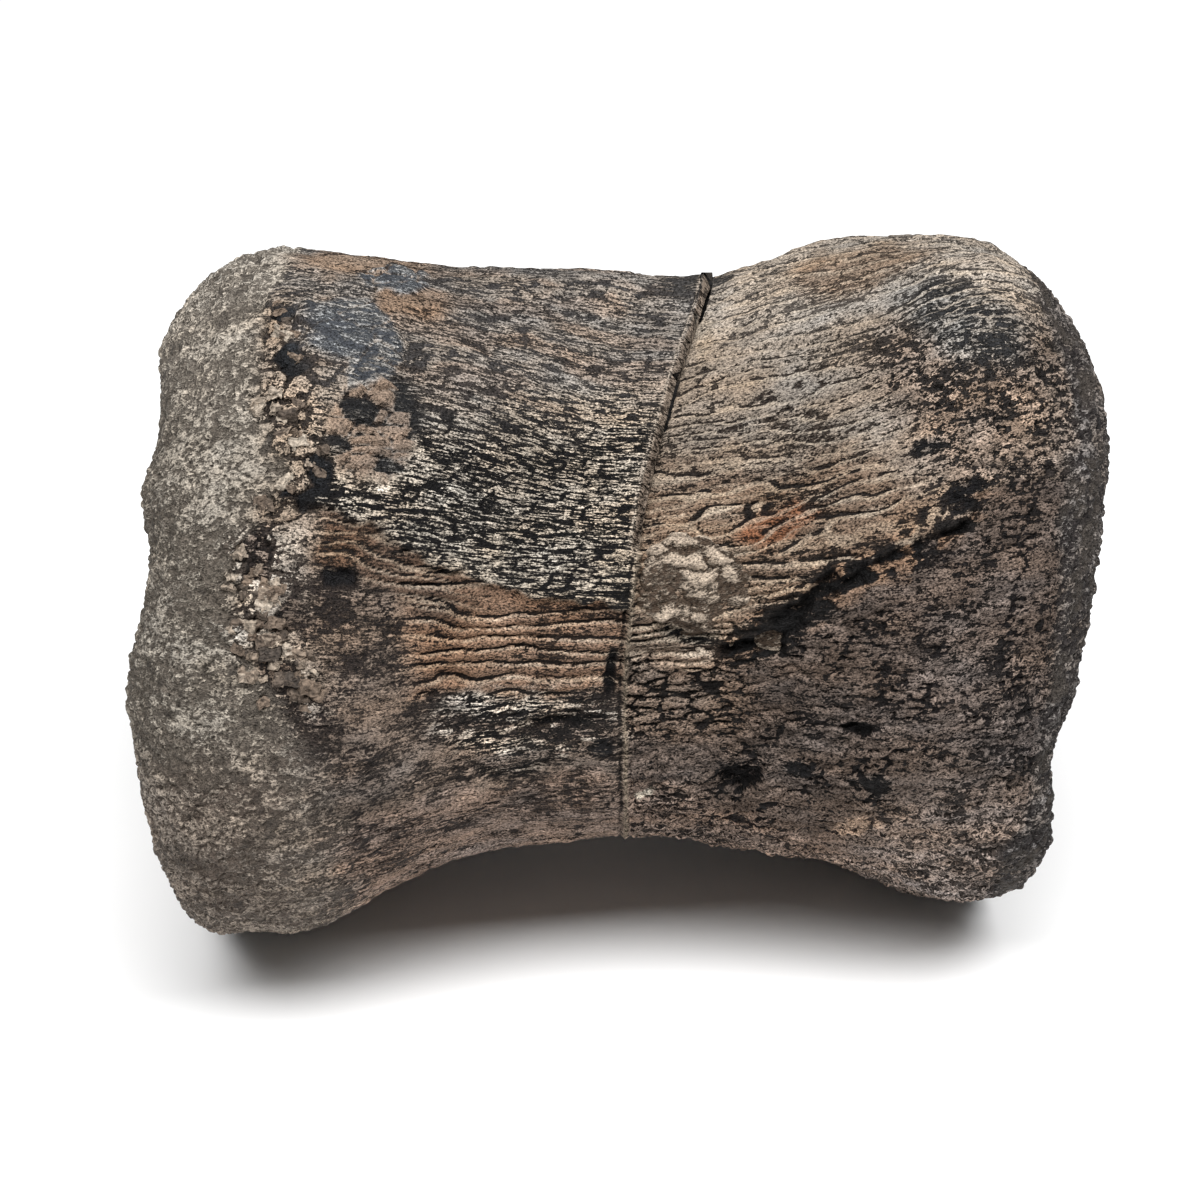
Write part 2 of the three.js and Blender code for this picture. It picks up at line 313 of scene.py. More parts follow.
def along_grain(length, width):
    """Grain places in lumps of that length and width in millimetres."""
    return warped * np.array([1 / length, 1 / width, 1 / width])


def ridges(width, seed, wander, ripple):
    """Long rounded ridges that wander, 0 in the groove to 1 at the crest, and the place across one."""
    count = round(2 * math.pi * EVEN_RADIUS / width)
    across = count * TWIST / (2 * math.pi)
    across = across + wander * (noise(along_grain(11.0, 4.5), seed) - 0.5)
    across = across + ripple * (noise(along_grain(3.2, 1.6), seed + 1) - 0.5)
    f = across % 1.0
    return 1 - np.abs(2 * f**1.15 - 1) ** 2.2, f


# Edges of zones are wavy: places are shifted by soft noise before a zone is read
warped = grain + (np.stack([rough(grain / 3.0, 5 + k) for k in range(3)], -1) - 0.5) * 1.1
wave_s = (rough(grain / 7.0, 11) - 0.5) * 3.2 + (rough(grain / 1.7, 14) - 0.5) * 1.5
wave_t = (rough(grain / 7.0, 21) - 0.5) * 3.2 + (rough(grain / 1.7, 24) - 0.5) * 1.5
ZONE_ALONG, ZONE_UP = SIDE_ALONG + wave_s, SIDE_UP + wave_t


def patch(s, t, length, height, tilt=0.0, edge=0.35):
    """A soft oval on the side that shows: its middle, half sizes and tilt."""
    c, d = math.cos(math.radians(tilt)), math.sin(math.radians(tilt))
    a, b = ZONE_ALONG - s, ZONE_UP - t
    q = np.sqrt(((a * c + b * d) / length) ** 2 + ((b * c - a * d) / height) ** 2)
    return ramp(1 + edge, 1 - edge, q) * FRONT


def line(places, along):
    s, t = zip(*places)
    return np.interp(along, s, t)


# Zones: their edges on the side that shows, in millimetres. The two rims' edges are places up the bone
# and along it, and the other edges are places along it and up it.
RIM_EDGE = (
    *((-34.5, -32.1), (-27.8, -34.8), (-16.9, -34.1), (-10.6, -37.6), (-2.2, -39.6), (3.9, -39.6)),
    *((7.9, -36.9), (13.0, -34.6), (20.3, -35.6), (31.7, -35.8), (39.2, -33.0)),
)
TAIL_RIM_EDGE = (
    *((-30.7, 42.3), (-23.8, 43.7), (-7.7, 45.1), (0.7, 46.4)),
    *((7.0, 47.3), (14.4, 48.8), (29.2, 47.7)),
)
BLACK_EDGE = ((-33.9, 9.9), (-29.0, 8.1), (-22.9, 5.3), (-15.7, 0.9), (-6.3, -1.4), (2.2, -3.0))
CREVICE = (
    *((8.0, -9.0), (10.7, -7.4), (15.8, -5.0), (20.8, -1.7)),
    *((24.0, 0.0), (29.7, 2.8), (35.5, 5.3), (40.0, 9.3)),
)
BELLY_EDGE = (
    *((-36.0, -27.0), (-21.8, -22.1), (-11.1, -20.5), (0.0, -20.1)),
    *((8.7, -22.8), (19.7, -27.8), (40.0, -34.0)),
)

past_break = ALONG - break_x[None, :] + (noise(grain / 5.0, 17) - 0.5) * 0.35
cranial = ALONG < break_x[None, :]
body = ramp(0.9, 1.0, SHARE)
from_rim = ZONE_ALONG - line(RIM_EDGE, ZONE_UP) + 6 * (1 - FRONT) * (rough(grain / 8.0, 19) - 0.5)
soft_edge = 0.8 + 1.8 * ramp(-6, -14, SIDE_UP) + 4.0 * ramp(-12, -28, SIDE_UP)
from_rim = from_rim + soft_edge * (rough(grain / 2.4, 18) - 0.5)
spongy = ramp(1.0, -1.0, from_rim / soft_edge)
spongy = np.where(SHARE < 1, np.where(cranial, 1.0, 0.0), spongy)
tail_rim = ramp(-0.8, 0.8, ZONE_ALONG - line(TAIL_RIM_EDGE, ZONE_UP))
tail_rim = np.where(SHARE < 1, np.where(cranial, 0.0, 1.0), tail_rim)
over_black = ZONE_UP - line(BLACK_EDGE, ZONE_ALONG)
black = np.where(cranial, ramp(-0.4, 0.4, over_black) * (1 - spongy), 0.0)
over_crevice = ZONE_UP - line(CREVICE, ZONE_ALONG)
over_crevice = over_crevice + 2.2 * (rough(grain / 3.2, 31) - 0.5) + 1.0 * (rough(grain / 1.1, 33) - 0.5)
tan_side = np.where(cranial, 0.0, ramp(-0.5, 0.5, over_crevice) * (1 - tail_rim))
lower_tail = np.where(cranial, 0.0, (1 - ramp(-0.5, 0.5, over_crevice)) * (1 - tail_rim))
under_crust = lower_tail * ramp(15.0, 8.0, ZONE_ALONG) * ramp(-17, -14, ZONE_UP)
cobble = tan_side * ramp(29.0, 37.0, ZONE_ALONG + 0.3 * (ZONE_UP - 8)) * ramp(31, 22, ZONE_UP)
belly = ramp(0.8, -0.8, ZONE_UP - line(BELLY_EDGE, ZONE_ALONG)) * (1 - spongy) * (1 - tail_rim)
below_black = np.where(cranial, ramp(0.3, -0.3, over_black), 0.0)
wavy = ramp(-25, -21, ZONE_ALONG) * ramp(-11.8, -10.2, ZONE_UP) * below_black
smooth_brown = ramp(-34, -30, ZONE_ALONG) * ramp(-7.5, -5.0, over_black) * below_black
smooth_brown = smooth_brown * ramp(-13, -19, ZONE_ALONG)
dusty = np.where(cranial, (1 - black) * (1 - spongy) * (1 - wavy), 0.0)
rim_band = bell(from_rim - 1.6, 2.4) * body * FRONT
chips = rim_band * ramp(6, 9, ZONE_UP) * ramp(34, 29, ZONE_UP)
pale_band = bell(from_rim - 2.2, 3.6) * ramp(9, 5, ZONE_UP) * ramp(-15, -9, ZONE_UP) * body * FRONT
brown_lumps = patch(-25.6, 17.0, 5.0, 6.2, -15, 0.2) * black

# Relief: long rounded ridges, finer fibres, layered sheets, flakes and grains
wide, wide_at = ridges(1.9, 41, 2.6, 0.9)
other, other_at = ridges(1.62, 143, 2.6, 0.9)
swap = noise(along_grain(8.0, 3.5), 145) > 0.52
wide, wide_at = np.where(swap, other, wide), np.where(swap, other_at, wide_at)
half, half_at = ridges(1.38, 44, 2.6, 0.7)
thin = ridges(0.86, 47, 3.4, 1.1)[0]
strip, strip_at = ridges(1.65, 149, 1.6, 0.6)
broken = ramp(0.36, 0.58, noise(along_grain(4.2, 1.5), 49))
levels = rough(along_grain(9.0, 3.6), 51) * 6.0
sheet_edge = np.abs(levels % 1.0 - 0.5)
sheets = np.floor(levels) + ramp(0.38, 0.62, levels % 1.0) - 3.0
inside, flake = cells(along_grain(2.3, 0.95), 53)
flakes = np.clip(inside / 0.4, 0, 1) ** 0.6
grain_in, grit = cells(along_grain(1.15, 0.9), 57)
grains = np.clip(grain_in / 0.4, 0, 1) ** 0.6
block_in, block = cells(along_grain(2.6, 2.1) + 7.3, 61)
blocks = np.clip(block_in / 0.22, 0, 1) ** 0.6
sheet_in, slab = cells(along_grain(5.2, 2.9) + 3.1, 67)
pillow_in, pillow = cells(along_grain(3.6, 1.45) + 11.7, 64)
pillows = np.clip(pillow_in / 0.4, 0, 1) ** 0.55
tilted = 0.7 * EVEN_RADIUS * TWIST
wrinkle = rough(np.stack([(0.7 * ALONG - tilted) / 0.75, (0.7 * ALONG + tilted) / 2.0, 3 * SHARE], -1), 71)
wrinkle += (rough(grain / 1.3, 73) - wrinkle) * ramp(0.985, 0.93, inward)
soft = rough(along_grain(1.1, 0.8), 75, 4)
lumpy = rough(grain / 4.5, 79)

upper_tan = tan_side * ramp(9, 16, ZONE_UP) * (1 - cobble)
lower_tan = tan_side * ramp(16, 9, ZONE_UP) * (1 - cobble)
upper_black = black * ramp(14, 24, ZONE_UP)
ridged = np.clip(lower_tan + 0.12 * under_crust, 0, 1)

# Heights of the relief in millimetres
WIDE_HEIGHT, HALF_HEIGHT, THIN_HEIGHT, STRIP_HEIGHT = 0.55, 0.42, 0.17, 0.6
SHEET_HEIGHT, FLAKE_HEIGHT, PILLOW_HEIGHT, GRAIN_HEIGHT = 0.17, 0.5, 0.35, 0.34
WRINKLE_HEIGHT, SOFT_HEIGHT, LUMP_HEIGHT = 0.5, 0.6, 0.8
BROWN_LUMP_HEIGHT, UNDER_CRUST_HEIGHT = 1.3, 0.9
RIDGE_MIDDLE = 0.6
on_half = upper_tan * ramp(31, 25, ZONE_UP) + 0.45 * ridged + 0.8 * smooth_brown + 0.3 * belly
on_thin = black - brown_lumps + 0.5 * tan_side + 0.6 * belly
on_sheets = upper_black + 0.8 * black + upper_tan * ramp(18, 24, ZONE_UP) + 0.6 * belly
on_flakes = cobble + 0.9 * lower_tail * (1 - under_crust) + 0.55 * dusty * (1 - smooth_brown) + pale_band
on_grains = tail_rim + spongy + cobble + lower_tail
relief = WIDE_HEIGHT * (wide - RIDGE_MIDDLE) * ridged * (0.55 + 0.45 * broken)
relief += HALF_HEIGHT * (half - RIDGE_MIDDLE) * np.clip(on_half, 0, 1)
relief += THIN_HEIGHT * (thin - RIDGE_MIDDLE) * broken * np.clip(on_thin, 0, 1)
relief += SHEET_HEIGHT * sheets * np.clip(on_sheets, 0, 1)
flaky = np.clip(on_flakes, 0, 1)
flaked = flaky * ramp(0.3, 0.6, noise(grain / 3.4, 55))
relief += FLAKE_HEIGHT * (flakes - 0.65 + 0.6 * (flake - 0.5)) * flaked
relief += PILLOW_HEIGHT * (pillows - RIDGE_MIDDLE) * (flaky - flaked)
relief += GRAIN_HEIGHT * (grains - RIDGE_MIDDLE + 0.5 * (grit - 0.5)) * np.clip(on_grains, 0, 1)
relief += WRINKLE_HEIGHT * (wrinkle - 0.5) * np.clip(spongy + 0.7 * tail_rim, 0, 1)
relief += SOFT_HEIGHT * (soft - 0.5) * np.clip(0.5 + spongy + tail_rim, 0, 1)
relief += LUMP_HEIGHT * (lumpy - 0.5)
relief += STRIP_HEIGHT * (strip - RIDGE_MIDDLE) * wavy * (0.6 + 0.4 * broken)
relief += BROWN_LUMP_HEIGHT * (pillows * (0.5 + 0.5 * pillow) - 0.5) * brown_lumps
relief += UNDER_CRUST_HEIGHT * (pillows * (0.6 + 0.4 * pillow) - 0.5) * under_crust

# Slate-dark slabs near the cranial end
slate = patch(-28.0, 26.6, 6.2, 5.4, -12, 0.1) * (slab > 0.1) + patch(-22.5, 33.8, 3.8, 1.5, -5, 0.15)
relief += slate * (0.5 * (slab - 0.5) + 0.3 * ramp(0.0, 0.08, sheet_in))

# The dark layer stands over the bone below it and ends in a broken edge
BLACK_STEP, BLACK_STEP_FADE = 0.9, 7.0
black_step = BLACK_STEP * (ramp(-0.35, 0.25, over_black) - 0.5) * bell(over_black, BLACK_STEP_FADE)
relief += np.where(cranial, black_step * (1 - spongy), 0)

# The crevice under the ridge of the tail half
CREVICE_DEPTH, CREVICE_LIP = 1.1, 0.45
crevice_line = ramp(9, 14, ZONE_ALONG) * ramp(41, 34, ZONE_ALONG) * np.where(cranial, 0.0, body * FRONT)
crevice_on = crevice_line * (0.4 + 0.6 * ramp(0.36, 0.56, noise(grain / 3.0, 85)))
gap = 0.2 + 2.0 * rough(grain / 2.2, 83)
in_crevice = crevice_on * ramp(-gap - 1.0, -0.5 * gap, over_crevice) * ramp(0.35, -0.25, over_crevice)
relief -= CREVICE_DEPTH * in_crevice
relief += CREVICE_LIP * crevice_on * ramp(-0.2, 0.5, over_crevice) * ramp(2.6, 0.6, over_crevice)

# Holes and pockets: place, half sizes, tilt, depth
HOLES = (
    (16.4, -6.3, 1.3, 1.3, 0, 1.9),
    (7.0, -6.2, 3.0, 0.9, 0, 0.9),
    (12.2, -21.3, 2.6, 1.2, 10, 1.5),
    (24.2, -16.8, 1.5, 0.8, 5, 0.8),
    (-28.7, 1.4, 2.0, 0.9, -30, 0.8),
    (-1.0, -9.8, 0.7, 2.0, 0, 0.8),
    (-6.4, -14.1, 4.2, 0.8, 0, 0.7),
    (-11.4, -18.9, 4.4, 0.8, 0, 0.6),
    (-17.5, -9.0, 2.0, 0.7, -20, 0.6),
)
for s, t, length, height, tilt, depth in HOLES:
    relief -= depth * patch(s, t, length, height, tilt, 0.5)

# Chips along the edge of the spongy end
relief += np.clip(chips + 0.7 * pale_band, 0, 1) * (0.7 * (blocks - 0.75) + 0.45 * (block - 0.5))

# The break: the cranial half's broken edge slopes down to a dark gap, closed lower down
BEVEL_DEPTH, GAP_DEPTH = 1.35, 1.2
open_break = ramp(4.0, 9.0, DEGREES) * ramp(97, 88, DEGREES) * body
uneven = 0.8 + 0.35 * rough(grain / 4.0, 87)
near_edge = open_break * np.where(cranial, ramp(-1.5, -0.9, past_break), ramp(0.8, 0.3, past_break))
relief = relief * (1 - 0.8 * near_edge)
relief -= open_break * np.where(cranial, BEVEL_DEPTH * ramp(-uneven, -0.1, past_break), 0)
gap_open = open_break * ramp(0.42, 0.6, noise(grain / 3.0, 89))
relief -= gap_open * GAP_DEPTH * ramp(0.3, 0.1, past_break) * ramp(-0.25, 0.0, past_break)
filled = (1 - open_break) * body
seam = 0.2 * bell(past_break, 0.3) - 0.18 * bell(past_break + 0.5, 0.22)
relief += filled * (seam - 0.1 * bell(past_break - 0.6, 0.3))

points = skin + out * (relief * ramp(0.0, 0.15, SHARE))[..., None]
points[..., 2] = np.maximum(points[..., 2], 0.0)
points *= 0.001
normals = facing(points)


# Colours: a light and a dark phase at each place, how much of it is light, and how it is broken up
def tone(r, g, b):
    c = np.array([r, g, b]) / 255.0
    return np.where(c <= 0.04045, c / 12.92, ((c + 0.055) / 1.055) ** 2.4)


light = np.broadcast_to(tone(114, 101, 90), points.shape).copy()
dark = np.broadcast_to(tone(42, 36, 33), points.shape).copy()
cover = np.full(ALONG.shape, 0.58)
fibre = np.full(ALONG.shape, 0.35)


def paint(mask, pale, deep, share, fibrous):
    m = np.clip(mask, 0, 1)
    light[:] += (tone(*pale) - light) * m[..., None]
    dark[:] += (tone(*deep) - dark) * m[..., None]
    cover[:] += (share - cover) * m
    fibre[:] += (fibrous - fibre) * m


paint(dusty, (108, 95, 85), (38, 32, 29), 0.53, 0.5)
paint(lower_tail, (88, 77, 70), (24, 20, 19), 0.61, 0.4)
paint(lower_tail * ramp(26, 38, ZONE_ALONG) * ramp(-4, -14, ZONE_UP), (94, 84, 78), (29, 25, 24), 0.57, 0.2)
paint(tan_side, (125, 114, 103), (54, 46, 40), 0.66, 0.4)
paint(upper_tan * ramp(20, 30, ZONE_UP), (148, 138, 127), (90, 83, 77), 0.64, 0.5)
paint(lower_tan, (109, 92, 78), (37, 30, 25), 0.58, 0.5)
paint(under_crust, (110, 94, 82), (28, 23, 20), 0.61, 0.4)
paint(cobble, (124, 109, 97), (36, 32, 30), 0.54, 0.15)
paint(wavy, (121, 97, 80), (39, 29, 23), 0.59, 0.45)
paint(smooth_brown, (94, 75, 62), (28, 22, 18), 0.58, 0.5)
paint(black, (162, 151, 137), (16, 15, 16), 0.485, 1.0)
paint(upper_black, (134, 126, 118), (66, 63, 62), 0.56, 1.0)
brown_streaks = upper_black * ramp(0.5, 0.68, noise(along_grain(7.0, 1.3), 111))
paint(0.5 * brown_streaks, (136, 118, 104), (62, 53, 47), 0.58, 0.9)
paint(brown_lumps * (pillow > 0.25), (122, 106, 93), (66, 55, 48), 0.78, 0.3)
between_lumps = brown_lumps * np.maximum(ramp(0.42, 0.15, pillows), pillow < 0.25)
paint(between_lumps, (120, 115, 109), (30, 30, 31), 0.4, 0.8)
paint(belly, (132, 114, 102), (48, 40, 36), 0.59, 0.7)
low_corner = np.where(cranial, 0, ramp(-22, -29, ZONE_UP) * ramp(22, 32, ZONE_ALONG))
paint(low_corner, (146, 131, 121), (66, 58, 53), 0.58, 0.1)
paint(spongy, (145, 137, 126), (92, 85, 77), 0.55, 0.1)
paint(spongy * ramp(14, 26, ZONE_UP), (158, 150, 139), (104, 97, 89), 0.58, 0.1)
paint(spongy * ramp(-12, -22, ZONE_UP), (138, 127, 116), (88, 78, 70), 0.55, 0.1)
paint(tail_rim, (118, 111, 106), (46, 42, 41), 0.5, 0.1)

# Broad stains and patches, with painted shade in the holes: place, half sizes, tilt, colours, share of light,
# fibre
STAINS_AND_HOLE_SHADE = (
    (-31.8, 12.6, 1.5, 2.0, 0, (70, 70, 72), (20, 21, 23), 0.2, 0.5),
    (-20.6, 31.2, 4.0, 2.4, -12, (129, 107, 89), (66, 54, 45), 0.64, 0.7),
    (-26.0, 36.4, 7.5, 2.2, -5, (134, 114, 97), (66, 54, 46), 0.62, 0.7),
    (17.3, 5.4, 3.8, 1.9, 14, (112, 76, 55), (42, 27, 20), 0.64, 0.4),
    (29.0, 34.0, 8.0, 2.8, 12, (130, 112, 96), (80, 68, 59), 0.62, 0.8),
    (11.0, 33.0, 5.0, 2.0, 15, (110, 103, 96), (60, 58, 57), 0.4, 0.9),
    (11.4, 26.5, 1.4, 3.2, 0, (134, 123, 110), (92, 82, 72), 0.75, 0.4),
    (-12.6, -12.4, 6.2, 1.3, 0, (188, 178, 166), (16, 14, 14), 0.52, 0.9),
    (-13.0, -16.2, 4.5, 0.9, 0, (180, 168, 154), (18, 16, 15), 0.48, 0.9),
    # Painted shade: the next two darken the two long holes they sit on
    (-6.4, -14.1, 4.2, 0.8, 0, (120, 108, 98), (14, 13, 13), 0.38, 0.8),
    (-11.4, -18.9, 4.2, 0.7, 0, (120, 108, 98), (16, 15, 15), 0.38, 0.8),
    (-2.2, -17.5, 1.8, 1.3, 0, (110, 100, 92), (18, 17, 18), 0.4, 0.7),
    # Painted shade: the next two darken the holes they sit on
    (-28.7, 1.4, 2.2, 1.0, -30, (84, 78, 74), (18, 17, 18), 0.25, 0.4),
    (-1.0, -9.8, 0.8, 2.1, 0, (84, 78, 74), (16, 15, 16), 0.25, 0.4),
    (38.5, 27.0, 6.5, 4.5, -20, (120, 115, 109), (40, 40, 41), 0.48, 0.6),
    (33.0, 13.5, 1.9, 0.8, 20, (92, 84, 78), (16, 15, 16), 0.36, 0.3),
    (36.0, 8.0, 2.4, 1.2, 25, (92, 84, 78), (15, 14, 15), 0.36, 0.3),
    # Painted shade: the next three darken two holes and the pocket under the crust
    (16.0, -6.6, 3.4, 1.5, 20, (92, 82, 74), (14, 13, 13), 0.36, 0.3),
    (12.2, -21.3, 2.5, 1.2, 10, (50, 45, 43), (20, 18, 18), 0.35, 0.1),
    (7.0, -6.2, 3.3, 1.1, 0, (150, 138, 124), (13, 13, 14), 0.36, 0.7),
    (7.6, -8.2, 4.6, 0.8, 6, (132, 112, 96), (60, 48, 40), 0.7, 0.3),
    (18.5, -20.5, 1.9, 0.8, -20, (74, 68, 64), (18, 17, 18), 0.36, 0.3),
    (26.5, -22.5, 1.9, 0.9, -10, (74, 68, 64), (20, 18, 18), 0.4, 0.3),
    # Painted shade: this one darkens the hole it sits on
    (24.2, -16.8, 1.6, 0.8, 5, (60, 56, 54), (14, 13, 13), 0.3, 0.3),
    (25.6, -27.5, 2.2, 1.0, 5, (160, 140, 124), (90, 75, 66), 0.7, 0.2),
    (3.2, -22.0, 0.8, 0.5, 0, (214, 202, 184), (180, 166, 148), 0.9, 0.1),
    (-24.4, 10.4, 0.7, 0.5, 0, (200, 190, 176), (170, 158, 142), 0.95, 0.1),
)
for s, t, length, height, tilt, pale, deep, share, fibrous in STAINS_AND_HOLE_SHADE:
    paint(patch(s, t, length, height, tilt), pale, deep, share, fibrous)

# Black and pale streaks low on the cranial half
streaks = patch(-9.5, -14.6, 10.0, 4.4, 0, 0.25)
streak_at = ramp(0.25, 0.5, noise(along_grain(3.2, 0.55), 107) * 2 - 0.5)
paint(0.7 * streaks * (1 - streak_at), (116, 103, 93), (16, 14, 14), 0.46, 0.9)
pale_streaks = streaks * ramp(0.62, 0.75, noise(along_grain(2.2, 0.5), 109))
paint(0.7 * pale_streaks, (200, 188, 174), (70, 60, 52), 0.7, 0.9)

# Slate-dark slabs, then tan chips and pale cobbles with black between them along the spongy end
paint(slate * ramp(0.02, 0.06, sheet_in), (150, 149, 147), (68, 71, 76), 0.47, 0.7)
paint(chips * (block > 0.14), (136, 121, 106), (60, 51, 44), 0.62, 0.2)
paint(chips * (block <= 0.14), (62, 62, 64), (22, 23, 25), 0.3, 0.4)
paint(pale_band * (block > 0.45), (170, 160, 148), (80, 71, 64), 0.69, 0.1)

# Crests are painted paler as a painted highlight; grooves, gaps between flakes and chips, and sheet edges are
# painted dark as painted shade, and the spongy ends get black specks with them
spots = ramp(0.3, 0.15, grit) * ramp(0.5, 0.9, grains) * ramp(0.45, 0.6, noise(grain / 3.0, 96))
grooves = (
    ridged * ramp(0.34, 0.06, wide) * ramp(0.30, 0.55, noise(along_grain(2.4, 1.2), 93)),
    0.75 * np.clip(upper_tan + smooth_brown, 0, 1) * ramp(0.3, 0.05, half) * (1 - 0.6 * broken),
    flaked * ramp(0.5, 0.15, flakes) * ramp(0.42, 0.62, noise(grain / 2.2, 95)),
    np.clip(spongy + tail_rim, 0, 1) * np.maximum(0.7 * spots, 0.45 * ramp(0.4, 0.1, grains)),
    np.clip(chips + 0.8 * pale_band, 0, 1) * ramp(0.6, 0.25, blocks),
    0.4 * np.clip(black + 0.8 * upper_tan, 0, 1) * ramp(0.10, 0.03, sheet_edge),
    wavy * ramp(0.34, 0.1, strip) * ramp(0.2, 0.4, noise(along_grain(3.0, 1.2), 94)),
    0.8 * under_crust * ramp(0.5, 0.2, pillows),
)
groove = np.maximum.reduce(grooves)
# Painted shade: in the grooves, gaps and sheet edges the dark phase is darkened and takes more of the place
cover -= 0.7 * groove
dark += (tone(15, 13, 13) - dark) * (0.85 * groove)[..., None]
# Painted highlight: pale cream along the crests of the ridges, and more of the light phase on them and on the
# thin ridges of the dark layer
wide_crest_highlight = ramp(0.58, 0.74, wide_at) * ramp(1.0, 0.9, wide_at)
wide_crest_highlight = wide_crest_highlight * (0.4 + 0.6 * noise(along_grain(3.0, 1.5), 98))
half_crest_highlight = ramp(0.62, 0.78, half_at) * ramp(1.0, 0.9, half_at)
half_on = np.clip(upper_tan + 0.5 * ridged + smooth_brown, 0, 1)
strip_crest_highlight = bell(strip_at - 0.84, 0.09) * (0.35 + 0.65 * noise(along_grain(2.5, 1.2), 100))
crest = np.maximum.reduce((ridged * wide_crest_highlight, 0.6 * half_on * half_crest_highlight, 1.1 * wavy * strip_crest_highlight))
light += (tone(176, 161, 142) - light) * (0.6 * crest)[..., None]
cover += 0.25 * crest + 0.12 * (thin - 0.6) * black * (1 - brown_lumps)
light *= (1 + 0.9 * (flake - 0.5) * flaked + 0.7 * (pillow - 0.5) * (flaky - flaked))[..., None]
warm = rough(along_grain(5.0, 2.2), 101) - 0.5 + 0.6 * (rough(grain / 9.0, 103) - 0.5)
light *= 1 + warm[..., None] * np.array([0.18, 0.0, -0.20]) * (1 - 0.6 * spongy)[..., None]
mottle = ramp(0.5, 0.62, rough(grain / np.array([2.6, 2.0, 2.0]), 105)) * np.clip(spongy + tail_rim, 0, 1)
dark += (tone(76, 70, 63) - dark) * (0.45 * mottle)[..., None]
cover -= 0.12 * mottle
broad = 0.5 * (rough(grain / 6.0, 97) - 0.5) + 0.5 * (rough(along_grain(3.0, 1.3), 99) - 0.5)
light *= (1 + broad)[..., None]

# Black mineral along the crevice, and the broken edge with the gap beside it; the gap is painted dark as
# painted shade
deep = crevice_on * ramp(-gap - 1.0, -gap, over_crevice) * ramp(0.4, -0.1, over_crevice)
near_crevice = crevice_line * bell(over_crevice + 0.5, 1.9)
paint(near_crevice * (flake < 0.62), (76, 69, 64), (13, 12, 12), 0.2, 0.3)
paint(near_crevice * (flake > 0.72), (138, 110, 88), (48, 36, 28), 0.66, 0.2)
paint(deep * 0.7, (66, 57, 51), (12, 11, 11), 0.32, 0.2)
edge_face = open_break * np.where(cranial, ramp(-1.05 * uneven, -0.7 * uneven, past_break), 0)
paint(edge_face, (126, 113, 101), (64, 55, 48), 0.6, 0.1)
edge_line = open_break * np.where(cranial, bell(past_break + 1.15 * uneven, 0.14), 0)
paint(edge_line, (146, 135, 123), (66, 60, 55), 0.6, 0.6)
# Painted shade: the open gap of the break is painted near black
gap_painted_shade = gap_open * ramp(0.4, 0.25, past_break) * ramp(-0.25, -0.05, past_break)
paint(gap_painted_shade, (30, 27, 26), (14, 13, 13), 0.3, 0.3)
paint(filled * bell(past_break, 0.3) * FRONT, (120, 108, 94), (66, 58, 50), 0.66, 0.2)
paint(filled * bell(past_break + 0.55, 0.2) * FRONT * 0.5, (60, 53, 48), (18, 16, 15), 0.35, 0.2)
patchy = (rough(along_grain(6.0, 3.0), 91) - 0.5) * (0.4 - 0.28 * black - 0.2 * lower_tail)
cover = np.clip(cover + patchy, 0.02, 0.98)

# How sharply the two phases are parted
crisp = 0.4 + 0.4 * black - 0.2 * upper_black + 0.3 * ridged + 0.3 * wavy + 0.4 * cobble + 0.6 * streaks
crisp = crisp + 0.4 * pale_band + 0.15 * upper_tan + 0.35 * lower_tail + 0.3 * chips
crisp = crisp - 0.3 * slate - 0.4 * brown_lumps - 0.15 * smooth_brown
crisp = np.clip(crisp - 0.3 * spongy - 0.1 * tail_rim, 0, 1)


# Lumps of the fine grain to a millimetre along and across the bone, and the depth of its relief in metres
FIBRE_GRAIN, SPECK_GRAIN, MICRO_GRAIN = (0.5, 4.3, 4.3), (0.95, 1.9, 1.9), (3.6, 5.6, 5.6)
FINE_RELIEF = 0.0004
OUTLINE_REACH, OUTLINE_STRENGTH = 0.045, 0.75


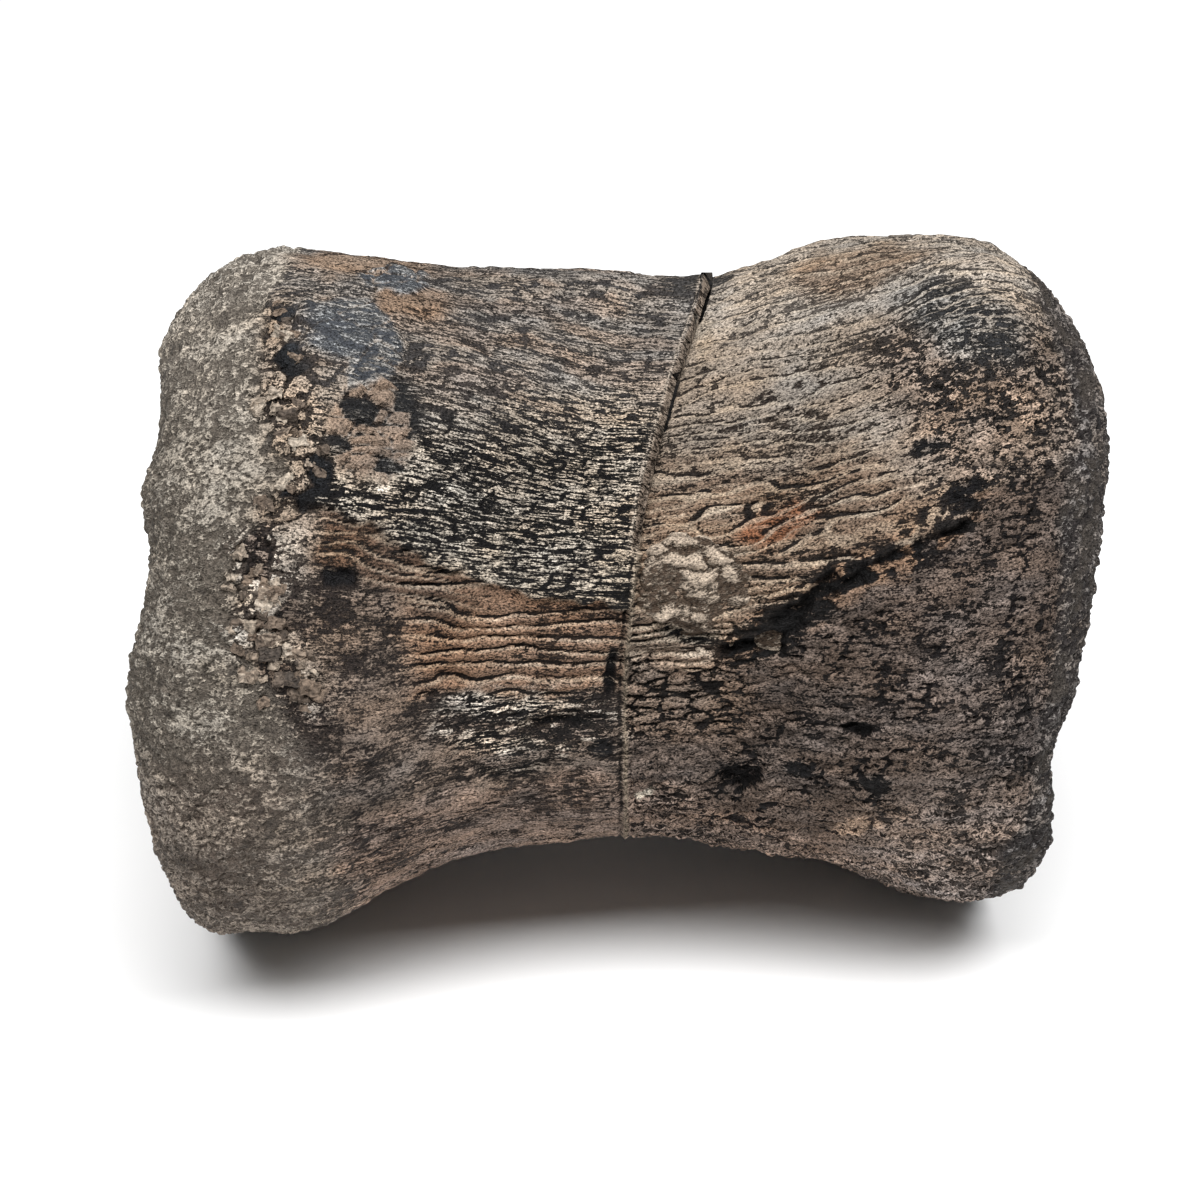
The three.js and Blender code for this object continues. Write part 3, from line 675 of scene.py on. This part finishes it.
def bone_material(name):
    """Mixes each place's light and dark phase by a broken grain, and gives it fine relief."""
    material = bpy.data.materials.new(name)
    material.use_nodes = True
    nodes, links = material.node_tree.nodes, material.node_tree.links
    nodes.clear()

    def node(kind, **values):
        n = nodes.new(kind)
        for key, value in values.items():
            setattr(n, key, value)
        return n

    def attribute(which):
        return node("ShaderNodeAttribute", attribute_name=which)

    def scaled(vector, scale):
        n = node("ShaderNodeVectorMath", operation="MULTIPLY")
        links.new(vector, n.inputs[0])
        n.inputs[1].default_value = scale
        return n.outputs[0]

    def noise_of(vector, detail, roughness, output="Fac"):
        n = node("ShaderNodeTexNoise")
        n.inputs["Scale"].default_value = 1.0
        n.inputs["Detail"].default_value = detail
        n.inputs["Roughness"].default_value = roughness
        links.new(vector, n.inputs["Vector"])
        return n.outputs[output]

    def sum_of(operation, a, b, c=None):
        n = node("ShaderNodeMath", operation=operation)
        for socket, value in zip(n.inputs, (a, b, c)):
            if isinstance(value, (int, float)):
                socket.default_value = value
            elif value is not None:
                links.new(value, socket)
        return n.outputs[0]

    def mixed(factor, a, b):
        n = node("ShaderNodeMix", data_type="RGBA")
        links.new(factor, n.inputs["Factor"])
        links.new(a, n.inputs["A"])
        links.new(b, n.inputs["B"])
        return n.outputs["Result"]

    place = attribute("grain").outputs["Vector"]
    fibres = noise_of(scaled(place, FIBRE_GRAIN), 3.0, 0.72)
    specks = noise_of(scaled(place, SPECK_GRAIN), 3.0, 0.72)
    micro = noise_of(scaled(place, MICRO_GRAIN), 1.0, 0.8)
    micro = sum_of("SUBTRACT", micro, 0.5)
    crisp = attribute("crisp").outputs["Fac"]
    fibre_share = attribute("fibre").outputs["Fac"]
    pattern = sum_of("MULTIPLY_ADD", sum_of("SUBTRACT", fibres, specks), fibre_share, specks)
    pattern = sum_of("MULTIPLY_ADD", micro, 0.2, pattern)
    over = sum_of("SUBTRACT", pattern, 0.81)
    over = sum_of("MULTIPLY_ADD", attribute("cover").outputs["Fac"], 0.62, over)
    width = sum_of("MULTIPLY_ADD", crisp, -0.075, 0.1)
    phase = node("ShaderNodeMapRange", interpolation_type="SMOOTHSTEP")
    links.new(over, phase.inputs["Value"])
    links.new(sum_of("MULTIPLY", width, -1.0), phase.inputs["From Min"])
    links.new(width, phase.inputs["From Max"])
    phase = phase.outputs["Result"]
    colour = mixed(phase, attribute("dark").outputs["Color"], attribute("light").outputs["Color"])
    vary = sum_of("MULTIPLY_ADD", micro, sum_of("MULTIPLY_ADD", crisp, 3.2, 2.3), 1.0)
    vary = sum_of("MAXIMUM", vary, 0.15)
    near = node("ShaderNodeMapRange", interpolation_type="SMOOTHSTEP")
    links.new(sum_of("ABSOLUTE", over, 0.0), near.inputs["Value"])
    near.inputs["From Max"].default_value = OUTLINE_REACH
    near.inputs["To Min"].default_value = OUTLINE_STRENGTH
    near.inputs["To Max"].default_value = 0.0
    outline = sum_of("MULTIPLY", near.outputs["Result"], crisp)
    vary = sum_of("MULTIPLY", vary, sum_of("SUBTRACT", 1.0, outline))
    tinted = node("ShaderNodeVectorMath", operation="SCALE")
    links.new(colour, tinted.inputs[0])
    links.new(vary, tinted.inputs["Scale"])
    height = sum_of("MULTIPLY_ADD", micro, 0.6, sum_of("MULTIPLY", pattern, 1.3))
    height = sum_of("MULTIPLY_ADD", phase, 0.55, height)
    bump = node("ShaderNodeBump")
    bump.inputs["Strength"].default_value = 1.0
    bump.inputs["Distance"].default_value = FINE_RELIEF
    links.new(height, bump.inputs["Height"])
    shader = node("ShaderNodeBsdfPrincipled")
    links.new(tinted.outputs[0], shader.inputs["Base Color"])
    links.new(sum_of("MULTIPLY_ADD", phase, 0.25, 0.6), shader.inputs["Roughness"])
    shader.inputs["Specular IOR Level"].default_value = 0.12
    links.new(bump.outputs["Normal"], shader.inputs["Normal"])
    output = node("ShaderNodeOutputMaterial")
    links.new(shader.outputs["BSDF"], output.inputs["Surface"])
    return material


def fill_mesh(name, places, faces, corners, fields):
    """A mesh from arrays of triangles and quads, its baking map and its named values."""
    mesh = bpy.data.meshes.new(name)
    loops = np.concatenate([f.ravel() for f in faces])
    sizes = np.concatenate([np.full(len(f), f.shape[1]) for f in faces])
    mesh.vertices.add(len(places))
    mesh.vertices.foreach_set("co", places.astype(np.float32).ravel())
    mesh.loops.add(len(loops))
    mesh.loops.foreach_set("vertex_index", loops.astype(np.int32))
    mesh.polygons.add(len(sizes))
    starts = np.concatenate([[0], np.cumsum(sizes)[:-1]])
    mesh.polygons.foreach_set("loop_start", starts.astype(np.int32))
    mesh.update(calc_edges=True)
    uv = mesh.uv_layers.new(name="OFBake")
    corner_places = np.concatenate([c.reshape(-1, 2) for c in corners]).astype(np.float32)
    uv.data.foreach_set("uv", corner_places.ravel())
    for key, values in fields.items():
        values = values.astype(np.float32)
        if key == "grain":
            mesh.attributes.new(key, "FLOAT_VECTOR", "POINT").data.foreach_set("vector", values.ravel())
        elif values.ndim == 2:
            full = np.concatenate([values, np.ones((len(values), 1), np.float32)], 1)
            mesh.attributes.new(key, "FLOAT_COLOR", "POINT").data.foreach_set("color", full.ravel())
        else:
            mesh.attributes.new(key, "FLOAT", "POINT").data.foreach_set("value", values)
    mesh.shade_smooth()
    return mesh


# Baking map: the side takes the lower share of the square, the two caps are small discs above it
SIDE_SHARE, CAP_LEVEL, CAP_SIZE = 0.94, 0.97, 0.025
FIELDS = {"grain": grain, "light": light, "dark": dark, "cover": cover, "fibre": fibre, "crisp": crisp}


def bone_piece(name, first, last):
    """A closed mesh from the rings first to last, with plain caps where it meets the next piece."""
    poles = [row for row in (first, last) if SHARE[row, 0] < 1e-6]
    rows = [row for row in range(first, last + 1) if row not in poles]
    count = len(rows)
    places = [points[rows].reshape(-1, 3)]
    facings = [normals[rows].reshape(-1, 3)]
    fields = {k: [v[rows].reshape(count * COLUMNS, -1).squeeze()] for k, v in FIELDS.items()}
    a = (np.arange(count - 1)[:, None] * COLUMNS + np.arange(COLUMNS)).ravel()
    b = (np.arange(count - 1)[:, None] * COLUMNS + (np.arange(COLUMNS) + 1) % COLUMNS).ravel()
    faces = [np.stack([a, a + COLUMNS, b + COLUMNS, b], 1)]
    u = np.broadcast_to(np.arange(COLUMNS) / COLUMNS, (count - 1, COLUMNS)).ravel()
    v = np.repeat(np.arange(count - 1) / (count - 1), COLUMNS) * SIDE_SHARE
    du, dv = 1 / COLUMNS, SIDE_SHARE / (count - 1)
    around_face = ((0, 0), (0, dv), (du, dv), (du, 0))
    corners = [np.stack([np.stack([u + i, v + j], 1) for i, j in around_face], 1)]

    def on_disc(disc, t, r):
        return np.stack([disc + r * np.cos(t), CAP_LEVEL + r * np.sin(t)], 1)

    for row, ring, away, disc in ((first, 0, -1, 0.03), (last, (count - 1) * COLUMNS, 1, 0.1)):
        middle = count * COLUMNS + len(places) - 1
        places.append(points[row].mean(0)[None])
        facings.append(np.array([[away, 0.0, 0.0]]))
        for k, field in FIELDS.items():
            fields[k].append(field[row].mean(0)[None])
        i, j = ring + np.arange(COLUMNS), ring + (np.arange(COLUMNS) + 1) % COLUMNS
        t0 = 2 * math.pi * np.arange(COLUMNS) / COLUMNS
        t1 = t0 + 2 * math.pi / COLUMNS
        i, j, t0, t1 = (i, j, t0, t1) if away < 0 else (j, i, t1, t0)
        faces.append(np.stack([np.full(COLUMNS, middle), i, j], 1))
        spokes = (on_disc(disc, t0, 0.0), on_disc(disc, t0, CAP_SIZE), on_disc(disc, t1, CAP_SIZE))
        corners.append(np.stack(spokes, 1))
    joined = {k: np.concatenate(v) for k, v in fields.items()}
    mesh = fill_mesh(name, np.concatenate(places), faces, corners, joined)
    mesh.normals_split_custom_set_from_vertices(np.concatenate(facings).tolist())
    mesh.materials.append(bone_material(name))
    piece = bpy.data.objects.new(name, mesh)
    bpy.context.scene.collection.objects.link(piece)
    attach(piece, "root")
    return piece


for node_name, first, last in (
    ("cranial_end", 0, marks["cranial_cut"]),
    ("cranial_body", marks["cranial_cut"], marks["break"]),
    ("caudal_body", marks["break"], marks["caudal_cut"]),
    ("caudal_end", marks["caudal_cut"], marks["end"]),
):
    piece = bone_piece(node_name + "_skin", first, last)
    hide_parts(node_name)

# Stone crust
# A pale lump of the sandstone that the bone lay in, left stuck in the hollow beside the break.
# It is folded and rounded, and lies over a dark pocket in the bone.
CRUST_AT, CRUST_HALF, CRUST_REACH = (7.6, -0.6), (7.6, 5.8), (9, 8)
CRUST_THIN, CRUST_ROLL, CRUST_SUNK, CRUST_UNDER = 0.9, 2.1, 1.0, 1.6


def window(mask):
    """The smallest block of rings and columns that holds the mask."""
    rows, columns = np.where(mask.any(1))[0], np.where(mask.any(0))[0]
    return np.ix_(np.arange(rows[0], rows[-1] + 1), np.arange(columns[0], columns[-1] + 1))


def grid_quads(ids):
    return np.stack([ids[:-1, :-1], ids[1:, :-1], ids[1:, 1:], ids[:-1, 1:]], -1).reshape(-1, 4)


near_crust = np.abs(SIDE_ALONG - CRUST_AT[0]) < CRUST_REACH[0]
near_crust = near_crust & (np.abs(SIDE_UP - CRUST_AT[1]) < CRUST_REACH[1])
block_of = window(near_crust & (FRONT > 0.5) & ~cranial)
lengthwise = (SIDE_ALONG - 0.2 * SIDE_UP) / 4.4 + 0.9 * noise(grain / 2.4, 201)
crosswise = (SIDE_UP + 0.2 * SIDE_ALONG) / 1.9 + 0.9 * noise(grain / 2.8, 203)
rolls = np.stack([lengthwise, crosswise, 0 * SIDE_UP], -1)[block_of]
roll_in, roll = cells(rolls, 205)
rolled = np.clip(roll_in / 0.6, 0, 1) ** 0.7 * (0.65 + 0.35 * roll)
lumps = np.clip(0.75 * rolled + 0.4 * noise(rolls * 1.9 + 2.3, 207), 0, 1.1)
oval = ((ZONE_ALONG[block_of] - CRUST_AT[0]) / CRUST_HALF[0]) ** 2
oval = oval + ((ZONE_UP[block_of] - CRUST_AT[1]) / CRUST_HALF[1]) ** 2
thick = (CRUST_THIN + CRUST_ROLL * lumps) * ramp(1.0, 0.55, oval) * ramp(0.1, 1.0, past_break[block_of])
thick = thick - CRUST_SUNK
top = (skin[block_of] + out[block_of] * thick[..., None]) * 0.001
under = (skin[block_of] - out[block_of] * CRUST_UNDER) * 0.001
n_rows, n_columns = thick.shape
ids = np.arange(n_rows * n_columns).reshape(n_rows, n_columns)
quads = grid_quads(ids)
edge = np.concatenate([ids[0, ::-1], ids[1:, 0], ids[-1, 1:], ids[-2:0:-1, -1]])
follow = np.roll(edge, -1)
wall = np.stack([follow, edge, edge + ids.size, follow + ids.size], 1)
cu, cv = np.meshgrid(np.linspace(0, 0.48, n_columns), np.linspace(0, 0.96, n_rows))
flat = np.stack([cu, cv], -1).reshape(-1, 2)
walk = np.linspace(0, 0.98, len(edge) + 1)
low, high = np.full(len(edge), 0.985), np.full(len(edge), 0.995)
wall_sides = ((walk[1:], low), (walk[:-1], low), (walk[:-1], high), (walk[1:], high))
wall_corners = np.stack([np.stack(side, 1) for side in wall_sides], 1)
# The crust's colours are painted lighter on the tops of its rolls and darker in the hollows between them:
# painted highlight and painted shade
crust_light_with_painted_shade = np.broadcast_to(tone(154, 140, 125), top.shape) * (0.5 + 0.95 * lumps)[..., None]
crust_dark = np.broadcast_to(tone(72, 60, 50), top.shape)
crust_cover_with_painted_shade = 0.36 + 0.44 * ramp(0.25, 0.65, lumps)


def doubled(field):
    """Values on the crust's top, and the same again on its underside."""
    return np.concatenate([field.reshape(ids.size, -1).squeeze()] * 2)


crust_mesh = fill_mesh(
    "stone_crust_lump",
    np.concatenate([top.reshape(-1, 3), under.reshape(-1, 3)]),
    [quads, quads[:, ::-1] + ids.size, wall],
    [flat[quads], flat[quads[:, ::-1]] + np.array([0.5, 0.0]), wall_corners],
    {
        "grain": doubled(grain[block_of]),
        "light": doubled(crust_light_with_painted_shade),
        "dark": doubled(crust_dark),
        "cover": doubled(crust_cover_with_painted_shade),
        "fibre": doubled(np.full(thick.shape, 0.05)),
        "crisp": doubled(np.full(thick.shape, 0.25)),
    },
)
crust_mesh.materials.append(bone_material("stone_crust_lump"))
crust = bpy.data.objects.new("stone_crust_lump", crust_mesh)
bpy.context.scene.collection.objects.link(crust)
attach(crust, "root")
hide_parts("stone_crust")

# Bone chips
# Small angular splinters of the outer bone, left standing where it gives way to the spongy end.
# They are strewn over the skin, and each sits half sunk in it.
CHIP_SMALLEST, CHIP_LARGEST, CHIPS_PER_MM2, CHIP_SEED = 0.6, 1.5, 0.42, 7
CHIP_EDGE = 0.25
GRAIN_WAY = (1.0, 0.0, 0.0)
strewn = np.clip(0.55 * chips + 0.8 * pale_band * ramp(6, 2, ZONE_UP), 0, 1)
seat_of = window(strewn > CHIP_EDGE)
seat_shares = strewn[seat_of]
seat_faces = grid_quads(np.arange(seat_shares.size).reshape(seat_shares.shape))
seat_faces = seat_faces[seat_shares.ravel()[seat_faces].min(1) > CHIP_EDGE]
seat_mesh = bpy.data.meshes.new("chip_seat")
seat_mesh.from_pydata(points[seat_of].reshape(-1, 3).tolist(), [], seat_faces.tolist())
seat_field = seat_mesh.attributes.new("strewn", "FLOAT", "POINT")
seat_field.data.foreach_set("value", seat_shares.ravel().astype(np.float32))
seat = bpy.data.objects.new("chip_seat", seat_mesh)
bpy.context.scene.collection.objects.link(seat)


def wire(tree, parts, joins):
    """Adds nodes to a tree, each with its traits and its inputs' values, and links them."""
    made = {}
    for key, kind, traits, values in parts:
        made[key] = tree.nodes.new(kind)
        for trait, value in traits.items():
            setattr(made[key], trait, value)
        for socket, value in values.items():
            made[key].inputs[socket].default_value = value
    for a, output, b, socket in joins:
        tree.links.new(made[a].outputs[output], made[b].inputs[socket])
    return made


chip_material = bpy.data.materials.new("bone_chips")
chip_material.use_nodes = True
chip_material.node_tree.nodes.clear()
dapple = {"From Min": 0.3, "From Max": 0.65, "To Min": 0.3, "To Max": 1.2}
chip_shading = wire(
    chip_material.node_tree,
    (
        ("number", "ShaderNodeAttribute", {"attribute_name": "chip_tone"}, {}),
        ("tones", "ShaderNodeValToRGB", {}, {}),
        ("place", "ShaderNodeTexCoord", {}, {}),
        ("grain", "ShaderNodeTexNoise", {}, {"Scale": 2600.0, "Detail": 2.0}),
        ("dapple", "ShaderNodeMapRange", {}, dapple),
        ("shade", "ShaderNodeVectorMath", {"operation": "SCALE"}, {}),
        ("bump", "ShaderNodeBump", {}, {"Distance": 0.0003}),
        ("shader", "ShaderNodeBsdfPrincipled", {}, {"Roughness": 0.85, "Specular IOR Level": 0.25}),
        ("output", "ShaderNodeOutputMaterial", {}, {}),
    ),
    (
        ("number", "Fac", "tones", "Fac"),
        ("place", "Object", "grain", "Vector"),
        ("grain", "Fac", "dapple", "Value"),
        ("tones", "Color", "shade", 0),
        ("dapple", "Result", "shade", "Scale"),
        ("shade", 0, "shader", "Base Color"),
        ("grain", "Fac", "bump", "Height"),
        ("bump", "Normal", "shader", "Normal"),
        ("shader", "BSDF", "output", "Surface"),
    ),
)
chip_tones = chip_shading["tones"].color_ramp.elements
for end_tone, colour in zip(chip_tones, ((70, 63, 57), (172, 160, 145))):
    end_tone.color = (*tone(*colour), 1)
chip_tones.new(0.5).color = (*tone(122, 106, 92), 1)

tree = bpy.data.node_groups.new("strewn_chips", "GeometryNodeTree")
tree.interface.new_socket("Geometry", in_out="INPUT", socket_type="NodeSocketGeometry")
chip_inputs = {
    "Density": ("NodeSocketFloat", CHIPS_PER_MM2 * 1e6),
    "Smallest": ("NodeSocketFloat", CHIP_SMALLEST),
    "Largest": ("NodeSocketFloat", CHIP_LARGEST),
    "Seed": ("NodeSocketInt", CHIP_SEED),
    "Material": ("NodeSocketMaterial", chip_material),
}
for input_name, (kind, value) in chip_inputs.items():
    tree.interface.new_socket(input_name, in_out="INPUT", socket_type=kind)
tree.interface.new_socket("Geometry", in_out="OUTPUT", socket_type="NodeSocketGeometry")
cube = {"Size": (0.001,) * 3, "Vertices X": 6, "Vertices Y": 6, "Vertices Z": 6}
unevenness = {1: (0.0014,) * 3, 2: (-0.0007,) * 3}
least_spin, most_spin = (-0.25, -0.25, -0.5), (0.25, 0.25, 0.5)
wire(
    tree,
    (
        ("given", "NodeGroupInput", {}, {}),
        ("result", "NodeGroupOutput", {}, {}),
        ("where", "GeometryNodeInputNamedAttribute", {"data_type": "FLOAT"}, {"Name": "strewn"}),
        ("share", "ShaderNodeMath", {"operation": "MULTIPLY"}, {}),
        ("spread", "GeometryNodeDistributePointsOnFaces", {}, {}),
        ("lump", "GeometryNodeMeshCube", {}, cube),
        ("uneven", "ShaderNodeTexNoise", {}, {"Scale": 1300.0, "Detail": 3.0}),
        ("shift", "ShaderNodeVectorMath", {"operation": "MULTIPLY_ADD"}, unevenness),
        ("flat", "GeometryNodeTransform", {}, {"Scale": (1.4, 0.9, 0.6), "Translation": (0.0, 0.0, -0.0001)}),
        ("size", "FunctionNodeRandomValue", {}, {}),
        ("spin", "FunctionNodeRandomValue", {"data_type": "FLOAT_VECTOR"}, {0: least_spin, 1: most_spin}),
        ("upright", "FunctionNodeAlignRotationToVector", {"axis": "Z"}, {}),
        (
            "lengthwise",
            "FunctionNodeAlignRotationToVector",
            {"axis": "X", "pivot_axis": "Z"},
            {"Vector": GRAIN_WAY},
        ),
        ("turned", "FunctionNodeRotateRotation", {"rotation_space": "LOCAL"}, {}),
        ("set_down", "GeometryNodeInstanceOnPoints", {}, {}),
        ("number", "FunctionNodeRandomValue", {}, {}),
        (
            "keep",
            "GeometryNodeStoreNamedAttribute",
            {"data_type": "FLOAT", "domain": "INSTANCE"},
            {"Name": "chip_tone"},
        ),
        ("real", "GeometryNodeRealizeInstances", {}, {}),
        ("shape", "GeometryNodeSetPosition", {}, {}),
        ("finish", "GeometryNodeSetMaterial", {}, {}),
    ),
    (
        ("given", "Geometry", "spread", "Mesh"),
        ("where", "Attribute", "share", 0),
        ("given", "Density", "share", 1),
        ("share", 0, "spread", "Density"),
        ("given", "Seed", "spread", "Seed"),
        ("uneven", "Color", "shift", 0),
        ("shift", 0, "shape", "Offset"),
        ("lump", "Mesh", "flat", "Geometry"),
        ("spread", "Points", "set_down", "Points"),
        ("flat", "Geometry", "set_down", "Instance"),
        ("spread", "Normal", "upright", "Vector"),
        ("upright", "Rotation", "lengthwise", "Rotation"),
        ("lengthwise", "Rotation", "turned", "Rotation"),
        ("spin", 0, "turned", "Rotate By"),
        ("turned", "Rotation", "set_down", "Rotation"),
        ("given", "Smallest", "size", 2),
        ("given", "Largest", "size", 3),
        ("given", "Seed", "size", "Seed"),
        ("size", 1, "set_down", "Scale"),
        ("set_down", "Instances", "keep", "Geometry"),
        ("number", 1, "keep", "Value"),
        ("keep", "Geometry", "real", "Geometry"),
        ("real", "Geometry", "shape", "Geometry"),
        ("shape", "Geometry", "finish", "Geometry"),
        ("given", "Material", "finish", "Material"),
        ("finish", "Geometry", "result", "Geometry"),
    ),
)
strew = seat.modifiers.new("strewn_chips", "NODES")
strew.node_group = tree
for item in tree.interface.items_tree:
    if item.in_out == "INPUT" and item.name in chip_inputs:
        strew[item.identifier] = chip_inputs[item.name][1]
chip_mesh = bpy.data.meshes.new_from_object(seat.evaluated_get(bpy.context.evaluated_depsgraph_get()))
bpy.data.objects.remove(seat)
chip_mesh.name = "bone_chips"
bone_chips = bpy.data.objects.new("bone_chips", chip_mesh)
bpy.context.scene.collection.objects.link(bone_chips)
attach(bone_chips, "root")

# Floor, light and camera
# A plain white table under one large soft lamp, seen from above the bone's side.
floor_mesh = bpy.data.meshes.new("floor")
floor_mesh.from_pydata([(-3, -3, 0), (3, -3, 0), (3, 3, 0), (-3, 3, 0)], [], [(0, 1, 2, 3)])
floor = bpy.data.objects.new("floor", floor_mesh)
bpy.context.scene.collection.objects.link(floor)
floor_material = bpy.data.materials.new("floor")
floor_material.use_nodes = True
floor_shader = floor_material.node_tree.nodes["Principled BSDF"]
floor_shader.inputs["Base Color"].default_value = (0.94, 0.94, 0.94, 1)
floor_shader.inputs["Roughness"].default_value = 0.9
floor_shader.inputs["Specular IOR Level"].default_value = 0.0
floor_mesh.materials.append(floor_material)

world = bpy.data.worlds.new("studio")
world.use_nodes = True
world.node_tree.nodes["Background"].inputs["Color"].default_value = (1, 1, 1, 1)
world.node_tree.nodes["Background"].inputs["Strength"].default_value = 0.12
bpy.context.scene.world = world

lamp_data = bpy.data.lights.new("overhead", "AREA")
lamp_data.shape = "RECTANGLE"
lamp_data.size = 1.2
lamp_data.size_y = 0.45
lamp_data.energy = 16.0
lamp = bpy.data.objects.new("overhead", lamp_data)
lamp.location = (0.02, -0.27, 0.78)
lamp.rotation_euler = (Vector((0, 0, 0.03)) - lamp.location).to_track_quat("-Z", "Y").to_euler()
bpy.context.scene.collection.objects.link(lamp)

camera_data = bpy.data.cameras.new("camera")
camera_data.lens = 85.0
camera_data.sensor_width = 36.0
camera_data.clip_start = 0.01
camera = bpy.data.objects.new("camera", camera_data)
target = Vector((-0.00106, 0.0, 0.0369))
azimuth, elevation, distance = math.radians(-4.5), math.radians(30.0), 0.330
level = math.cos(elevation)
back = Vector((math.sin(azimuth) * level, -math.cos(azimuth) * level, math.sin(elevation)))
camera.location = target + back * distance
camera.rotation_euler = (target - camera.location).to_track_quat("-Z", "Y").to_euler()
bpy.context.scene.collection.objects.link(camera)
bpy.context.scene.camera = camera
bpy.context.scene.view_settings.view_transform = "Standard"
